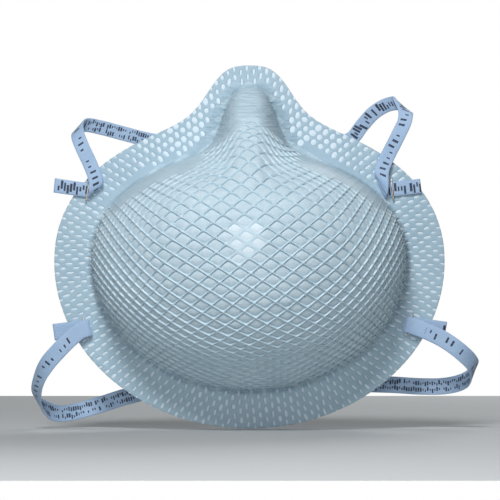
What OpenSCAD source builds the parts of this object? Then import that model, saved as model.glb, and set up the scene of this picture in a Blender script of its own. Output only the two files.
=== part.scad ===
// Moulded cup respirator with a net-covered shell and two stapled elastic headbands.
// Millimetres. +Z is up on the wearer, -Y is the front, +Y points at the face.
// The origin is the middle of the face opening, on the plane that the side rims reach.

/* [Rim] */
// Half the width across the flange
half_width = 70; // [64:1:76]
// Height of the shoulders above the widest level
shoulder_height = 49.5; // [46:0.5:54]
// How square the shoulders are, where 2 is an ellipse
shoulder_power = 2.15; // [2:0.05:2.4]
// Depth of the chin below the widest level
chin_drop = 59.5; // [56:0.5:64]
// Rise of the nose lobe above the shoulders
nose_rise = 20.8; // [18:0.2:23]
// Angle at which the nose lobe has dropped to half its rise
nose_spread = 15.3; // [13:0.1:17]
// Width of the flat pressed flange
flange_width = 12; // [10:0.5:13]
// Share of the flange width that is lost at the nose
nose_narrowing = 0.5; // [0.4:0.05:0.6]
// How far the middle of the rim stands in front of its sides
rim_bow = 8; // [5:0.5:10]

/* [Cup] */
// Depth of the dome in front of the rim
dome_depth = 45; // [38:1:50]
// Height of the dome's shoulders above the widest level
foot_shoulder = 38.5; // [36:0.5:41]
// Rise of the nose ridge above the dome's shoulders
ridge_rise = 24; // [21:0.5:25]
// Angle at which the ridge has dropped to half its rise
ridge_spread = 11.5; // [10:0.5:12]
// Height of the dome's flat spot above the widest level
apex_height = 7; // [4:0.5:10]
// Rise of the soft curve where the dome leaves the flange
foot_lift = 2.2; // [1.5:0.1:3]

/* [Layers] */
// Thickness of the outer net
net_thickness = 0.5; // [0.4:0.1:0.8]
// Thickness of the moulded shell
shell_thickness = 1.1; // [0.8:0.1:1.4]
// Thickness of the filter sheet
filter_thickness = 0.5; // [0.4:0.1:0.8]
// Thickness of the soft lining
lining_thickness = 0.5; // [0.4:0.1:0.8]
// Share of the thickness that is left where the flange is pressed
pressed_share = 0.55; // [0.45:0.05:0.65]

/* [Headbands] */
// Width of the upper headband
upper_width = 5.2; // [4.8:0.1:5.6]
// Width of the lower headband
lower_width = 6; // [5.4:0.1:6.2]
// Thickness of the elastic
band_thickness = 0.7; // [0.6:0.05:0.8]
// Height of the line that the upper headband swings about
upper_swing_height = 39; // [38:0.5:40]
// Height of the line that the lower headband swings about
lower_swing_height = -29.5; // [-30:0.5:-29]
// Half the gap between a stapled end and its loop
swing_gap = 0.5; // [0.45:0.05:0.6]

/* [Staples] */
// Length of a staple's crown
crown_length = 8; // [7.6:0.1:8.4]
// Thickness of the square staple wire
wire_size = 0.55; // [0.45:0.05:0.65]
// Length of each clinched leg tip behind the flange
clinch_length = 2.4; // [2:0.1:3]

/* [Fineness] */
// Number of columns around the cup
columns = 56; // [48:4:64]
// Number of rings from the top of the dome to its foot
dome_rings = 9; // [7:1:10]

/* [Hidden] */

net_blue = [0.66, 0.77, 0.83];
shell_blue = [0.78, 0.85, 0.89];
filter_white = [0.95, 0.95, 0.93];
lining_white = [0.97, 0.97, 0.96];
band_blue = [0.58, 0.69, 0.83];
steel = [0.72, 0.72, 0.73];

// Depths of the five surfaces between the layers, below the front one
depths = [
    0,
    net_thickness,
    net_thickness + shell_thickness,
    net_thickness + shell_thickness + filter_thickness,
    net_thickness + shell_thickness + filter_thickness + lining_thickness,
];
laminate = depths[4];
pressed_laminate = laminate * pressed_share;

// The foot of the dome stands this far inside the flange at the sides and the chin
foot_margin = 1.5;
lobe_power = 3.1;
ridge_fade = 28;
ridge_taper = 2.5;
flange_fade = 22;
// Stations along a column: the dome's rings, three on the foot, two on the flange
stations = concat([for (i = [1:dome_rings]) i / dome_rings], [1.3, 1.65, 2, 2.5, 3]);
// Angles from the top of the nose, closer together there
angles = [for (i = [0:columns - 1]) let (t = 2 * i / columns - 1) 180 * (0.72 * t + 0.28 * pow(t, 3))];

// ---- The cup's front surface ------------------------------------------------------------

// Distance from the middle to an egg-shaped outline, at an angle from the top
function egg(angle, half, top, bottom) =
    let (up = cos(angle), across = abs(sin(angle)))
    let (power = up > 0 ? shoulder_power : 2, reach = up > 0 ? top : bottom)
    pow(pow(across / half, power) + pow(abs(up) / reach, power), -1 / power);

function lobe(angle, rise, spread) = rise / (1 + pow(abs(angle) / spread, lobe_power));

function edge_radius(angle) =
    egg(angle, half_width, shoulder_height, chin_drop) + lobe(angle, nose_rise, nose_spread);

function flange_radius(angle) =
    edge_radius(angle) - flange_width * (1 - nose_narrowing * exp(-pow(angle / flange_fade, 2)));

function foot_base(angle) =
    egg(angle, half_width - flange_width - foot_margin, foot_shoulder, chin_drop - flange_width - foot_margin);

function foot_radius(angle) = foot_base(angle) + lobe(angle, ridge_rise, ridge_spread);

// How much a direction belongs to the nose ridge, from 0 to 1
function noseness(angle) = exp(-pow(angle / ridge_fade, 2));

function rim_y(x) = -pressed_laminate - rim_bow * (1 - pow(x / half_width, 2));

function front_point(x, z, lift) = [x, rim_y(x) - lift, z];

// station 0 to 1 is the dome, 1 to 2 its soft foot and 2 to 3 the flange
function cup_point(angle, station) =
    station <= 1 ? dome_point(angle, station)
    : station <= 2 ? foot_point(angle, station - 1)
    : flange_point(angle, station - 2);

function dome_point(angle, share) =
    let (turn = 90 * share, nose = noseness(angle))
    let (out = pow(sin(turn), 2 / (2.3 - 0.2 * nose)), up = pow(cos(turn), 2 / (2 - 0.5 * nose)))
    let (radius = out * (foot_base(angle) + lobe(angle, ridge_rise, ridge_spread) * pow(out, ridge_taper)))
    front_point(
        radius * sin(angle),
        radius * cos(angle) + apex_height * (1 - out * out),
        foot_lift + dome_depth * up
    );

function foot_point(angle, share) =
    let (radius = foot_radius(angle) + (flange_radius(angle) - foot_radius(angle)) * share)
    front_point(radius * sin(angle), radius * cos(angle), foot_lift * pow(1 - share, 2));

function flange_point(angle, share) =
    let (radius = flange_radius(angle) + (edge_radius(angle) - flange_radius(angle)) * share)
    front_point(radius * sin(angle), radius * cos(angle), 0);

function unit(v) = v / norm(v);

// Direction through the laminate, towards the face
function inward(angle, station) =
    let (low = max(station - 0.02, 0.01), high = min(station + 0.02, 3))
    let (along = cup_point(angle, high) - cup_point(angle, low))
    let (around = cup_point(angle + 1, station) - cup_point(angle - 1, station))
    let (normal = cross(along, around))
    unit(normal[1] < 0 ? -normal : normal);

function press(station) =
    station <= 1 ? 1 : station >= 2 ? pressed_share : 1 + (pressed_share - 1) * (station - 1);

function layer_point(angle, station, depth) =
    cup_point(angle, station) + inward(angle, station) * depth * press(station);

function layer_surface(depth) = concat(
    [[0, rim_y(0) - foot_lift - dome_depth + depth, apex_height]],
    [for (s = stations) for (a = angles) layer_point(a, s, depth)]
);

// Triangles of one surface, whose points start at the index first
function surface_faces(first, flip) =
    let (rings = len(stations))
    let (fan = [for (i = [0:columns - 1]) [first, first + 1 + i, first + 1 + (i + 1) % columns]])
    let (wall = [
        for (r = [0:rings - 2]) for (i = [0:columns - 1])
        let (a = first + 1 + r * columns + i, b = first + 1 + r * columns + (i + 1) % columns)
        for (triangle = [[a, a + columns, b + columns], [a, b + columns, b]]) triangle
    ])
    [for (f = concat(fan, wall)) flip ? [f[0], f[2], f[1]] : f];

function rim_faces(size) =
    let (last = size - columns)
    [
        for (i = [0:columns - 1])
        let (a = last + i, b = last + (i + 1) % columns)
        for (triangle = [[a, a + size, b + size], [a, b + size, b]]) triangle
    ];

// One sheet of the laminate, between two of its depths
module layer(front, back) {
    face = layer_surface(front);
    size = len(face);
    polyhedron(
        points = concat(face, layer_surface(back)),
        faces = concat(surface_faces(0, false), surface_faces(size, true), rim_faces(size)),
        convexity = 6
    );
}

module outer_net() { color(net_blue) layer(depths[0], depths[1]); }

module moulded_shell() { color(shell_blue) layer(depths[1], depths[2]); }

module filter_sheet() { color(filter_white) layer(depths[2], depths[3]); }

module inner_lining() { color(lining_white) layer(depths[3], depths[4]); }

// ---- Headbands --------------------------------------------------------------------------

// Each station of a headband is [x, y, z] of its middle and [x, y, z] of the line across it.
// The line across is a direction: its length is worked out from the band's width.
upper_route = [
    [[-70.0, -2.05, 27.5], [0.10, 0, 1]],
    [[-64.0, -3.3, 26.6], [0.12, 0, 1]],
    [[-58.0, -4.5, 25.7], [0.20, 0, 1]],
    [[-56.2, -4.9, 25.3], [0.70, 0, 0.80]],
    [[-55.4, -5.7, 25.4], [0.78, 0, 0.62]],
    [[-55.0, -7.0, 26.6], [0.84, 0, 0.50]],
    [[-55.2, -7.4, 30.0], [0.90, 0, 0.40]],
    [[-57.0, -6.8, 35.0], [0.86, 0, 0.48]],
    [[-59.8, -6.4, 41.0], [0.84, 0, 0.54]],
    [[-61.6, -3.4, 45.8], [0.80, 0.05, 0.60]],
    [[-61.4, 0.8, 48.4], [0.66, 0.05, 0.76]],
    [[-58.6, 4.4, 49.3], [0.45, 0, 0.90]],
    [[-53.0, 7.0, 48.3], [0.30, 0, 0.96]],
    [[-45.0, 9.0, 46.2], [0.27, 0, 0.96]],
    [[-35.0, 11.0, 43.8], [0.20, 0, 0.98]],
    [[-18.0, 12.6, 42.0], [0.06, 0, 1]],
    [[0, 13.2, 41.6], [0, 0, 1]],
    [[18.0, 12.6, 41.8], [-0.06, 0, 1]],
    [[30.0, 11.4, 42.4], [-0.30, 0, 0.95]],
    [[36.9, 10.4, 44.6], [-0.75, 0, 0.66]],
    [[40.5, 9.2, 49.0], [-0.90, 0, 0.44]],
    [[44.9, 7.4, 53.8], [-0.70, 0, 0.70]],
    [[49.8, 5.0, 56.6], [-0.50, 0, 0.86]],
    [[53.8, 2.0, 56.8], [-0.62, 0.10, 0.76]],
    [[55.8, -1.2, 54.4], [-0.90, 0.20, 0.40]],
    [[55.8, -3.6, 51.0], [-0.98, 0.10, 0.14]],
    [[53.2, -6.0, 45.2], [-0.90, 0, 0.42]],
    [[48.8, -6.8, 36.4], [-0.90, 0, 0.42]],
    [[47.4, -7.9, 32.4], [-0.96, 0.05, 0.28]],
    [[47.3, -8.3, 29.4], [-0.72, 0.25, 0.60]],
    [[47.5, -7.6, 27.2], [-0.50, 0.15, 0.85]],
    [[47.4, -6.8, 26.1], [-0.42, 0, 0.90]],
    [[48.0, -6.15, 25.8], [-0.36, 0, 0.93]],
    [[49.4, -5.85, 25.9], [-0.22, 0, 0.98]],
    [[52.0, -5.5, 26.1], [-0.12, 0, 1]],
    [[56.5, -4.7, 26.6], [-0.11, 0, 1]],
    [[61.4, -3.85, 27.3], [-0.12, 0, 1]],
];

lower_route = [
    [[-70.2, -2.1, -25.2], [-0.14, 0, 1]],
    [[-64.0, -3.3, -24.4], [-0.14, 0, 1]],
    [[-58.6, -4.35, -23.7], [-0.16, 0, 1]],
    [[-57.7, -4.7, -23.6], [-0.22, 0, 1]],
    [[-57.2, -5.3, -23.6], [-0.26, 0, 1]],
    [[-57.9, -5.95, -23.7], [-0.28, 0, 1]],
    [[-60.4, -6.2, -24.6], [-0.34, 0, 1]],
    [[-64.0, -6.2, -27.4], [-0.52, 0, 0.90]],
    [[-68.2, -6.1, -31.6], [-0.64, 0, 0.80]],
    [[-72.4, -4.8, -36.4], [-0.80, 0.20, 0.66]],
    [[-75.2, -1.6, -41.4], [-0.66, 0.66, 0.36]],
    [[-76.6, 2.4, -46.4], [-0.56, 0.74, 0.30]],
    [[-76.0, 6.4, -50.6], [-0.46, 0.36, 0.80]],
    [[-72.6, 10.2, -53.6], [-0.30, -0.12, 0.94]],
    [[-67.4, 12.2, -54.8], [-0.08, -0.10, 1]],
    [[-56.5, 13.2, -52.4], [-0.28, 0, 0.96]],
    [[-44.2, 13.6, -48.6], [-0.28, 0, 0.96]],
    [[-30.0, 14.0, -45.6], [-0.14, 0, 0.99]],
    [[0, 14.4, -44.2], [0, 0, 1]],
    [[30.0, 14.0, -44.0], [0.01, 0, 1]],
    [[51.2, 13.2, -44.4], [0.04, 0, 1]],
    [[62.0, 12.4, -45.0], [0, 0, 1]],
    [[70.6, 10.8, -44.8], [-0.06, 0, 1]],
    [[76.8, 8.2, -43.2], [0, 0.08, 1]],
    [[80.4, 4.0, -40.2], [0.30, 0.14, 0.94]],
    [[80.2, -1.4, -36.8], [0.56, 0.30, 0.70]],
    [[76.0, -5.4, -32.4], [0.60, 0.06, 0.76]],
    [[69.6, -6.1, -27.8], [0.44, 0, 0.88]],
    [[63.0, -6.2, -24.6], [0.34, 0, 0.94]],
    [[58.2, -6.3, -22.8], [0.30, 0, 1]],
    [[56.6, -6.2, -22.4], [0.28, 0, 1]],
    [[55.9, -5.6, -22.3], [0.26, 0, 1]],
    [[56.5, -5.0, -22.3], [0.24, 0, 1]],
    [[57.6, -4.6, -22.5], [0.20, 0, 1]],
    [[63.6, -3.5, -23.4], [0.17, 0, 1]],
    [[70.4, -2.2, -24.4], [0.17, 0, 1]],
];

band_steps = 3;
// The stapled ends lie between these distances from the middle
end_reach = 40;
outermost = 100;
// How far a clinched tip stands off the rim behind its bend
tip_lift = 0.1;

function gap(points, i) = sqrt(norm(points[i + 1][0] - points[i][0]));

// Slope of a route's values at one of its stations, weighted by the gaps on both sides
function slope(points, column, i) =
    i == 0 ? (points[1][column] - points[0][column]) / gap(points, 0)
    : i == len(points) - 1 ? (points[i][column] - points[i - 1][column]) / gap(points, i - 1)
    : let (before = gap(points, i - 1), after = gap(points, i))
    (
        (points[i][column] - points[i - 1][column]) * after / before
        + (points[i + 1][column] - points[i][column]) * before / after
    ) / (before + after);

// Smooth curve through a route's values, a share of the way from station i to the next
function between(points, column, i, share) =
    let (h = gap(points, i), s2 = share * share, s3 = share * share * share)
    points[i][column] * (2 * s3 - 3 * s2 + 1)
    + slope(points, column, i) * h * (s3 - 2 * s2 + share)
    + points[i + 1][column] * (3 * s2 - 2 * s3)
    + slope(points, column, i + 1) * h * (s3 - s2);

function smooth_route(points) = concat(
    [for (i = [0:len(points) - 2]) for (k = [0:band_steps - 1])
        [between(points, 0, i, k / band_steps), between(points, 1, i, k / band_steps)]],
    [points[len(points) - 1]]
);

// The four corners of the band where it crosses one point of its route
function band_section(route, i, width) =
    let (before = route[max(i - 1, 0)][0], after = route[min(i + 1, len(route) - 1)][0])
    let (along = unit(after - before), line = unit(route[i][1]), middle = route[i][0])
    let (flat = cross(along, line), half = line * width / 2 / norm(flat))
    let (out = unit(flat) * band_thickness / 2)
    [middle - half - out, middle + half - out, middle + half + out, middle - half + out];

module band(points, width) {
    route = smooth_route(points);
    last = len(route) - 1;
    corners = [for (i = [0:last]) each band_section(route, i, width)];
    sides = [
        for (i = [0:last - 1]) for (k = [0:3])
        let (a = 4 * i + k, b = 4 * i + (k + 1) % 4)
        for (triangle = [[a, b, b + 4], [a, b + 4, a + 4]]) triangle
    ];
    caps = [[0, 2, 1], [0, 3, 2], [4 * last, 4 * last + 1, 4 * last + 2], [4 * last, 4 * last + 2, 4 * last + 3]];
    polyhedron(points = corners, faces = concat(sides, caps), convexity = 8);
}

// A block beyond one side of the face, all above or all below a swing line
module end_block(height, side, left, right) {
    reach = 200;
    translate([left, -reach / 2, side > 0 ? height - reach : height])
        cube([right - left, reach, reach]);
}

// What stays on the cup: side is 1 for a loop above its swing line and -1 for one below
module band_end(points, width, height, side, left, right) {
    color(band_blue) intersection() {
        band(points, width);
        end_block(height - side * swing_gap, side, left, right);
    }
}

// What swings: the whole headband but its two ends
module band_loop(points, width, height, side) {
    color(band_blue) difference() {
        band(points, width);
        end_block(height + side * swing_gap, side, -outermost, -end_reach);
        end_block(height + side * swing_gap, side, end_reach, outermost);
    }
}

module upper_headband_left_end() {
    band_end(upper_route, upper_width, upper_swing_height, 1, -outermost, -end_reach);
}

module upper_headband_loop() { band_loop(upper_route, upper_width, upper_swing_height, 1); }

module upper_headband_right_end() {
    band_end(upper_route, upper_width, upper_swing_height, 1, end_reach, outermost);
}

module lower_headband_left_end() {
    band_end(lower_route, lower_width, lower_swing_height, -1, -outermost, -end_reach);
}

module lower_headband_loop() { band_loop(lower_route, lower_width, lower_swing_height, -1); }

module lower_headband_right_end() {
    band_end(lower_route, lower_width, lower_swing_height, -1, end_reach, outermost);
}

// ---- Staples ----------------------------------------------------------------------------

// Crown in front of the headband, two legs through the rim, tips clinched behind it
module staple(x, z, lean) {
    front = -band_thickness - 0.1 - wire_size;
    back = pressed_laminate + 0.05;
    outer = crown_length / 2;
    inner = outer - wire_size;
    tip = outer - clinch_length;
    half_outline = [
        [front, outer], [back + wire_size, outer], [back + wire_size + tip_lift, tip],
        [back + tip_lift, tip], [back, inner], [front + wire_size, inner],
    ];
    mirrored = [for (i = [len(half_outline) - 1:-1:0]) [half_outline[i][0], -half_outline[i][1]]];
    color(steel)
        translate([x, rim_y(x), z])
        rotate([0, lean, atan(2 * rim_bow * x / pow(half_width, 2))])
        translate([-wire_size / 2, 0, 0])
        rotate([90, 0, 90])
        linear_extrude(height = wire_size)
        polygon(concat(half_outline, mirrored));
}

module staple_upper_left() { staple(-57.8, 25.5, 10); }

module staple_upper_right() { staple(51, 26, -6); }

module staple_lower_left() { staple(-58.7, -23.6, -12); }

module staple_lower_right() { staple(57.5, -22.3, 10); }

// ---- Parts ------------------------------------------------------------------------------

outer_net();
moulded_shell();
filter_sheet();
inner_lining();
upper_headband_left_end();
upper_headband_loop();
upper_headband_right_end();
lower_headband_left_end();
lower_headband_loop();
lower_headband_right_end();
staple_upper_left();
staple_upper_right();
staple_lower_left();
staple_lower_right();
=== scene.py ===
"""A moulded cup respirator: net, shell, filter, lining, two printed elastic headbands and four staples.

Lengths are in millimetres in the row frame, and become metres where a mesh is made.
The cup's shape follows the same formulas and driving dimensions as the CAD source.
"""

import math

import bmesh
import bpy
import numpy as np

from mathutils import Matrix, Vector


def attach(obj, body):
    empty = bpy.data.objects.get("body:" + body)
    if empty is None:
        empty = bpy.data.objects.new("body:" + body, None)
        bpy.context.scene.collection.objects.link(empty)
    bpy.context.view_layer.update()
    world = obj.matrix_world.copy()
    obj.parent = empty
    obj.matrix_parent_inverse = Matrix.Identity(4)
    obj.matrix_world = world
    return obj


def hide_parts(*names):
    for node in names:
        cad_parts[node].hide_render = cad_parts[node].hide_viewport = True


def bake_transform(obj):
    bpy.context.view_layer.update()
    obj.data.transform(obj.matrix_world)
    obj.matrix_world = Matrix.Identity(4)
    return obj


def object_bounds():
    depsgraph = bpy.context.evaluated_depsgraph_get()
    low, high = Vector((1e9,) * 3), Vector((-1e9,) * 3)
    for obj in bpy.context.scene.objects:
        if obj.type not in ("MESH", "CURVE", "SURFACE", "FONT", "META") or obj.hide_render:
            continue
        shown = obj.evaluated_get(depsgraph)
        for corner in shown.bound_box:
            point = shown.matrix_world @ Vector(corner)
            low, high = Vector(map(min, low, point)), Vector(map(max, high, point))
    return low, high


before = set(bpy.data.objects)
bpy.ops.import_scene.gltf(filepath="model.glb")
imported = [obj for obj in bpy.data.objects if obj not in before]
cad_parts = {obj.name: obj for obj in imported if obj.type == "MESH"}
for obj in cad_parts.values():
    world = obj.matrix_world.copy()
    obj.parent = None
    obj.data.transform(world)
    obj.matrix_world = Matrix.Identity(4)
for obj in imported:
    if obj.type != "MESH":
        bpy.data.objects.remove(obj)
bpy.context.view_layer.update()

MM = 0.001
SEED = 20

# ---- Driving dimensions, as in the CAD source ------------------------------------------

HALF_WIDTH = 70.0
SHOULDER_HEIGHT = 49.5
SHOULDER_POWER = 2.15
CHIN_DROP = 59.5
NOSE_RISE = 20.8
NOSE_SPREAD = 15.3
FLANGE_WIDTH = 12.0
NOSE_NARROWING = 0.5
RIM_BOW = 8.0
DOME_DEPTH = 45.0
FOOT_SHOULDER = 38.5
RIDGE_RISE = 24.0
RIDGE_SPREAD = 11.5
APEX_HEIGHT = 7.0
FOOT_LIFT = 2.2
NET, SHELL, FILTER, LINING = 0.5, 1.1, 0.5, 0.5
LAMINATE = NET + SHELL + FILTER + LINING
PRESSED_SHARE = 0.55
PRESSED_LAMINATE = LAMINATE * PRESSED_SHARE
FOOT_MARGIN = 1.5
LOBE_POWER = 3.1
RIDGE_FADE = 28.0
RIDGE_TAPER = 2.5
FLANGE_FADE = 22.0
BAND_THICKNESS = 0.7
UPPER_WIDTH = 5.2
LOWER_WIDTH = 6.0
CROWN_LENGTH = 8.0
WIRE = 0.55
CLINCH_LENGTH = 2.4
TIP_LIFT = 0.1
BEND_RADIUS = 0.42

# ---- The cup's front surface, by angle from the top of the nose and station ------------


def egg(angle, half, top, bottom):
    up, across = np.cos(np.radians(angle)), np.abs(np.sin(np.radians(angle)))
    power = np.where(up > 0, SHOULDER_POWER, 2.0)
    reach = np.where(up > 0, top, bottom)
    return ((across / half) ** power + (np.abs(up) / reach) ** power) ** (-1 / power)


def lobe(angle, rise, spread):
    return rise / (1 + (np.abs(angle) / spread) ** LOBE_POWER)


def edge_radius(angle):
    return egg(angle, HALF_WIDTH, SHOULDER_HEIGHT, CHIN_DROP) + lobe(angle, NOSE_RISE, NOSE_SPREAD)


def flange_radius(angle):
    narrowing = NOSE_NARROWING * np.exp(-((angle / FLANGE_FADE) ** 2))
    return edge_radius(angle) - FLANGE_WIDTH * (1 - narrowing)


def foot_base(angle):
    inset = FLANGE_WIDTH + FOOT_MARGIN
    return egg(angle, HALF_WIDTH - inset, FOOT_SHOULDER, CHIN_DROP - inset)


def foot_radius(angle):
    return foot_base(angle) + lobe(angle, RIDGE_RISE, RIDGE_SPREAD)


def noseness(angle):
    return np.exp(-((angle / RIDGE_FADE) ** 2))


def rim_y(x):
    return -PRESSED_LAMINATE - RIM_BOW * (1 - (x / HALF_WIDTH) ** 2)


def cup_point(angle, station):
    """Stations 0 to 1 are the dome, 1 to 2 its soft foot and 2 to 3 the flange."""
    angle = (angle + 180.0) % 360.0 - 180.0
    turn = np.clip(station, 0, 1) * math.pi / 2
    nose = noseness(angle)
    out = np.sin(turn) ** (2 / (2.3 - 0.2 * nose))
    up = np.maximum(np.cos(turn), 0) ** (2 / (2 - 0.5 * nose))
    foot, flange, edge = foot_radius(angle), flange_radius(angle), edge_radius(angle)
    on_foot, on_flange = np.clip(station - 1, 0, 1), np.clip(station - 2, 0, 1)
    radius = out * (foot_base(angle) + lobe(angle, RIDGE_RISE, RIDGE_SPREAD) * out**RIDGE_TAPER)
    radius = radius + (flange - foot) * on_foot + (edge - flange) * on_flange
    x = radius * np.sin(np.radians(angle))
    z = radius * np.cos(np.radians(angle)) + APEX_HEIGHT * (1 - out**2)
    lift = DOME_DEPTH * up + FOOT_LIFT * (1 - on_foot) ** 2
    return np.stack([x, rim_y(x) - lift, z], -1)


def unit(v):
    return v / np.maximum(np.linalg.norm(v, axis=-1, keepdims=True), 1e-12)


def inward(angle, station):
    """Direction through the laminate, towards the face."""
    low, high = np.maximum(station - 0.02, 0.01), np.minimum(np.maximum(station, 0.02) + 0.02, 3)
    along = cup_point(angle, high) - cup_point(angle, low)
    across = np.maximum(station, 0.02)
    around = cup_point(angle + 1, across) - cup_point(angle - 1, across)
    normal = np.cross(along, around)
    return unit(np.where(normal[..., 1:2] < 0, -normal, normal))


def press(station):
    return 1 + (PRESSED_SHARE - 1) * np.clip(station - 1, 0, 1)


def layer_point(angle, station, depth):
    return cup_point(angle, station) + inward(angle, station) * (depth * press(station))[..., None]


# ---- The diamond net, laid over the cup -------------------------------------------------

# Two directions of the net's strands at the top of the dome, and one of its crossings there
STRAND_A = np.array([3.43, 2.82])
STRAND_B = np.array([-4.03, 2.46])
NET_START = np.array([-0.7, 6.66])
# The net crowds together from this share of the way to the foot, up to this much more
CROWD_FROM = 0.5
CROWD_MORE = 3.0
CROWD_POWER = 1.4
# How much closer together the strands lie on the flange than on the top of the dome
FLANGE_DENSITY = 1.6
SPOT = np.array([-1.0, 7.2])
SPOT_RADIUS = 7.2
# Above this line the net is pressed flat on the nose: its height at the middle, and its fall to each side
NOSE_LINE = 50.5
NOSE_LINE_FALL = 0.7
NOSE_LINE_FADE = 6.0
# On the shoulders it is pressed flat this far in from the flange
SHOULDER_PRESS = 6.0
SHOULDER_FADE = 3.0

share_table = np.linspace(0, 1, 600)
crowd = np.clip((share_table - CROWD_FROM) / (1 - CROWD_FROM), 0, 1)
net_table = share_table + CROWD_MORE * (1 - CROWD_FROM) / (CROWD_POWER + 1) * crowd ** (CROWD_POWER + 1)


def net_to_cup(uv):
    """Angle, station and whether it lies past the rim, for points of the flat net."""
    u, v = uv[..., 0], uv[..., 1]
    shift = np.zeros_like(u)
    for _ in range(24):
        angle = np.degrees(np.arctan2(u, v - shift))
        reach = np.hypot(u, v - shift)
        foot = foot_radius(angle)
        radius = np.interp(reach / foot, net_table, share_table) * foot
        base, ridge = foot_base(angle), lobe(angle, RIDGE_RISE, RIDGE_SPREAD)
        out = radius / foot
        for _ in range(7):
            miss = out * base + ridge * out ** (RIDGE_TAPER + 1) - radius
            out = np.clip(out - miss / (base + (RIDGE_TAPER + 1) * ridge * out**RIDGE_TAPER), 1e-6, 1)
        wanted = np.where(reach / foot < net_table[-1], APEX_HEIGHT * (1 - out**2), 0.0)
        shift = 0.35 * shift + 0.65 * wanted
    past_foot = (reach - net_table[-1] * foot) / FLANGE_DENSITY
    dome = np.degrees(np.arcsin(np.clip(out ** ((2.3 - 0.2 * noseness(angle)) / 2), 0, 1))) / 90
    band = flange_radius(angle) - foot
    rim = edge_radius(angle) - flange_radius(angle)
    outside = np.where(past_foot < band, 1 + past_foot / band, 2 + (past_foot - band) / rim)
    station = np.where(past_foot > 0, outside, dome)
    return angle, np.minimum(station, 3.0), station >= 3.0


def smooth(x):
    x = np.clip(x, 0, 1)
    return x * x * (3 - 2 * x)


def nose_press(angle, station):
    """1 where the dome is pressed smooth on the nose and beside it."""
    place = cup_point(angle, station)
    above = place[..., 2] - NOSE_LINE + NOSE_LINE_FALL * np.abs(place[..., 0] - 1)
    turned = np.abs((angle + 180) % 360 - 180)
    nose = smooth(above / NOSE_LINE_FADE + 0.5) * smooth((30 - turned) / 8)
    into = np.hypot(place[..., 0], place[..., 2]) - flange_radius(angle) + SHOULDER_PRESS
    shoulder = smooth(into / SHOULDER_FADE + 0.5) * smooth((turned - 20) / 8) * smooth((76 - turned) / 12)
    return np.maximum(nose, shoulder)


EDGE_STEPS = 4
side = np.arange(EDGE_STEPS) / EDGE_STEPS * 2 - 1
square = np.concatenate([
    np.stack([side, -np.ones(EDGE_STEPS)], -1),
    np.stack([np.ones(EDGE_STEPS), side], -1),
    np.stack([-side, np.ones(EDGE_STEPS)], -1),
    np.stack([-np.ones(EDGE_STEPS), -side], -1),
])
AROUND = len(square)
on_a_strand = np.abs(square[:, 1]) > 0.999
cell_area = abs(STRAND_A[0] * STRAND_B[1] - STRAND_A[1] * STRAND_B[0])
# Distance between neighbouring strands, across strand B and across strand A
GAP_ACROSS = np.array([cell_area / np.linalg.norm(STRAND_B), cell_area / np.linalg.norm(STRAND_A)])

reach_cells = 42
grid_i, grid_j = np.meshgrid(np.arange(-reach_cells, reach_cells), np.arange(-reach_cells, reach_cells))
corner = NET_START + grid_i.reshape(-1, 1) * STRAND_A + grid_j.reshape(-1, 1) * STRAND_B
centres = corner + (STRAND_A + STRAND_B) / 2
cell_angle, cell_station, _ = net_to_cup(centres)
inner = net_to_cup(centres * (1 - 4.5 / np.maximum(np.linalg.norm(centres, axis=1, keepdims=True), 5)))
keep = ~inner[2]
centres, cell_angle, cell_station = centres[keep], cell_angle[keep], cell_station[keep]
CELLS = len(centres)
rng = np.random.default_rng(SEED)

# How far each cell is stretched on the cup, along its radius
step_in = centres * (1 - 1.2 / np.maximum(np.linalg.norm(centres, axis=1, keepdims=True), 1.5))
in_angle, in_station, _ = net_to_cup(step_in)
moved = cup_point(cell_angle, cell_station) - cup_point(in_angle, in_station)
stretch = np.clip(np.linalg.norm(moved, axis=1) / np.linalg.norm(centres - step_in, axis=1), 0.45, 2.2)
spot_share = 1 - smooth((np.linalg.norm(centres - SPOT, axis=1) - SPOT_RADIUS + 1.6) / 2.6)
cell_band = flange_radius(cell_angle) - foot_radius(cell_angle)
pressed = smooth((cell_station - 1.05) / 0.45)
# A cell on the wide bands beside the nose and on the shoulders has no hole
holeless = (cell_station > 1.02) & (cell_station < 1.97) & (cell_band > 2.6)
on_shoulder = (np.abs(cell_angle) > 26) & (np.abs(cell_angle) < 72)
pressed_end = np.where(on_shoulder, 2.12, 1.97)
holeless |= (nose_press(cell_angle, cell_station) > 0.55) & (cell_station < pressed_end)
# Small differences between the cells, as the real net has
size_noise = 1 + 0.16 * rng.standard_normal(CELLS)
turn_noise = 0.12 * rng.standard_normal(CELLS)
puff_noise = rng.standard_normal(CELLS)

away = np.abs(cell_angle)
flank = np.exp(-(((away - 27) / 17) ** 2))
hole_across = (0.36 + 0.10 * smooth((away - 140) / 30) + 0.58 * flank) * np.clip(size_noise, 0.7, 1.35)
hole_out = (1.12 - 0.05 * flank) * np.clip(size_noise[::-1], 0.75, 1.3)
radial = np.radians(90 - cell_angle) + turn_noise


def ring(width, roundness):
    """Cell loop a distance inside its strands' middles, before the flange is pressed."""
    half = 1 - 2 * width[:, None] / GAP_ACROSS
    half = np.maximum(half, 0.12)
    corner_cut = (np.abs(square[:, 0]) ** roundness + np.abs(square[:, 1]) ** roundness) ** (-1 / roundness)
    local = square[None] * corner_cut[None, :, None] * half[:, None, :]
    return (local[..., :1] * STRAND_A + local[..., 1:] * STRAND_B) / 2


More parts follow.
